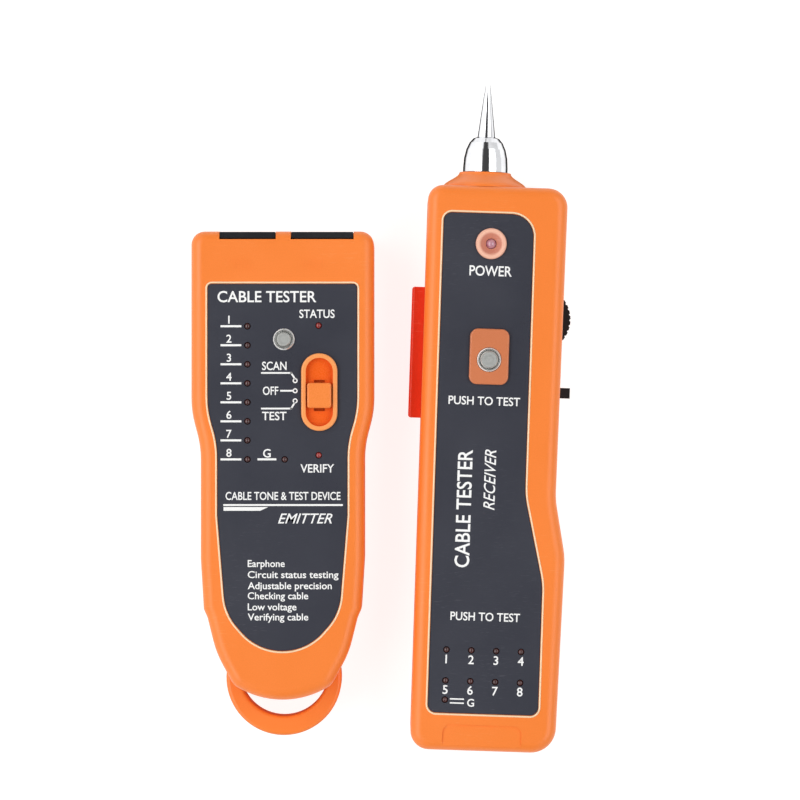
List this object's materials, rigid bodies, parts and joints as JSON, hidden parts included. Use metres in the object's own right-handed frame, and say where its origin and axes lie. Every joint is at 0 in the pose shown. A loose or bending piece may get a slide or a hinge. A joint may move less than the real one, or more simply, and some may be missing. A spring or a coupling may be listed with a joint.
{
  "type": "tone probe kit",
  "caption": "Handheld tone emitter with socket end and lanyard loop, and a slim probe receiver with a metal tip, lying side by side.",
  "frame": {"origin": "middle of the pair's bounding box, on the surface that both backs lie on", "axes": "+Z out of both faces, +Y towards the emitter's sockets and the receiver's tip, +X to the right"},
  "size_m": [0.1135, 0.2004, 0.0321],
  "materials": {
    "case_orange": "satin moulded",
    "knob_orange": "satin moulded",
    "label_charcoal": "printed film",
    "button_red": "satin moulded",
    "black_plastic": "moulded",
    "probe_chrome": "polished",
    "button_silver": "satin",
    "lamp_red": "clear",
    "lamp_peach": "satin",
    "board_green": "lacquered",
    "contact_gold": "plated",
    "screw_steel": "plated",
    "battery_case": "printed",
    "bush_white": "moulded",
    "legend_white": "printed ink"
  },
  "bodies": {
    "emitter_case": {"emitter_rear_shell": "case_orange", "emitter_front_shell": "case_orange", "emitter_face_label": "label_charcoal", "emitter_circuit_board": "board_green", "emitter_battery": "battery_case", "emitter_battery_snap": "black_plastic", "emitter_phone_socket": "black_plastic", "emitter_phone_contacts": "contact_gold", "emitter_network_socket": "black_plastic", "emitter_network_contacts": "contact_gold", "emitter_mode_surround": "knob_orange", "emitter_mode_switch": "black_plastic", "emitter_push_button_ring": "button_silver", "emitter_push_button_switch": "black_plastic", "emitter_map_lamps": "lamp_red", "emitter_signal_lamps": "lamp_red", "emitter_case_screws": "screw_steel", "emitter_board_screws": "screw_steel"},
    "emitter_door": {"emitter_battery_door": "case_orange"},
    "emitter_mode_knob": {"emitter_mode_knob": "knob_orange", "emitter_mode_shutter": "knob_orange"},
    "emitter_button": {"emitter_push_button": "button_silver"},
    "receiver_case": {"receiver_rear_shell": "case_orange", "receiver_front_shell": "case_orange", "receiver_face_label": "label_charcoal", "receiver_circuit_board": "board_green", "receiver_battery": "battery_case", "receiver_battery_snap": "black_plastic", "receiver_network_socket": "black_plastic", "receiver_network_contacts": "contact_gold", "receiver_probe_tip": "probe_chrome", "receiver_probe_bush": "bush_white", "receiver_probe_washer": "screw_steel", "receiver_probe_nut": "screw_steel", "receiver_power_surround": "lamp_peach", "receiver_power_lamp": "lamp_red", "receiver_test_surround": "knob_orange", "receiver_test_button_ring": "button_silver", "receiver_test_button_switch": "black_plastic", "receiver_side_switch": "black_plastic", "receiver_potentiometer": "black_plastic", "receiver_light_switch": "black_plastic", "receiver_earphone_socket": "black_plastic", "receiver_loudspeaker": "black_plastic", "receiver_map_lamps": "lamp_red", "receiver_case_screws": "screw_steel", "receiver_board_screws": "screw_steel"},
    "receiver_door": {"receiver_battery_door": "case_orange"},
    "receiver_side_button": {"receiver_side_button": "button_red"},
    "receiver_test_button": {"receiver_test_button": "button_silver"},
    "receiver_thumbwheel": {"receiver_thumbwheel": "black_plastic", "receiver_thumbwheel_screw": "screw_steel"},
    "receiver_light_knob": {"receiver_light_knob": "black_plastic"}
  },
  "joints": [
    {"name": "receiver_lift", "type": "slide", "parent": "emitter_case", "child": "receiver_case", "axis": [0, 0, 1], "range_m": [0, 0.06]},
    {"name": "emitter_door_slide", "type": "slide", "parent": "emitter_case", "child": "emitter_door", "axis": [0, -1, 0], "range_m": [0, 0.062]},
    {"name": "mode_select", "type": "slide", "parent": "emitter_case", "child": "emitter_mode_knob", "axis": [0, 1, 0], "range_m": [-0.003, 0.003]},
    {"name": "emitter_button_press", "type": "slide", "parent": "emitter_case", "child": "emitter_button", "axis": [0, 0, -1], "range_m": [0, 0.0005], "stiffness_N_per_m": 400, "springref_m": -0.001},
    {"name": "receiver_door_slide", "type": "slide", "parent": "receiver_case", "child": "receiver_door", "axis": [-0.0332, -0.9995, 0], "range_m": [0, 0.078]},
    {"name": "side_button_press", "type": "slide", "parent": "receiver_case", "child": "receiver_side_button", "axis": [0.9995, -0.0332, 0], "range_m": [0, 0.0012], "stiffness_N_per_m": 400, "springref_m": -0.001},
    {"name": "test_button_press", "type": "slide", "parent": "receiver_case", "child": "receiver_test_button", "axis": [0, 0, -1], "range_m": [0, 0.0005], "stiffness_N_per_m": 400, "springref_m": -0.001},
    {"name": "sensitivity_turn", "type": "hinge", "parent": "receiver_case", "child": "receiver_thumbwheel", "pos_m": [0.04712, 0.02962, 0.015], "axis": [0, 0, 1], "range_deg": [-135, 135]},
    {"name": "light_slide", "type": "slide", "parent": "receiver_case", "child": "receiver_light_knob", "axis": [0.0332, 0.9995, 0], "range_m": [0, 0.002]}
  ]
}
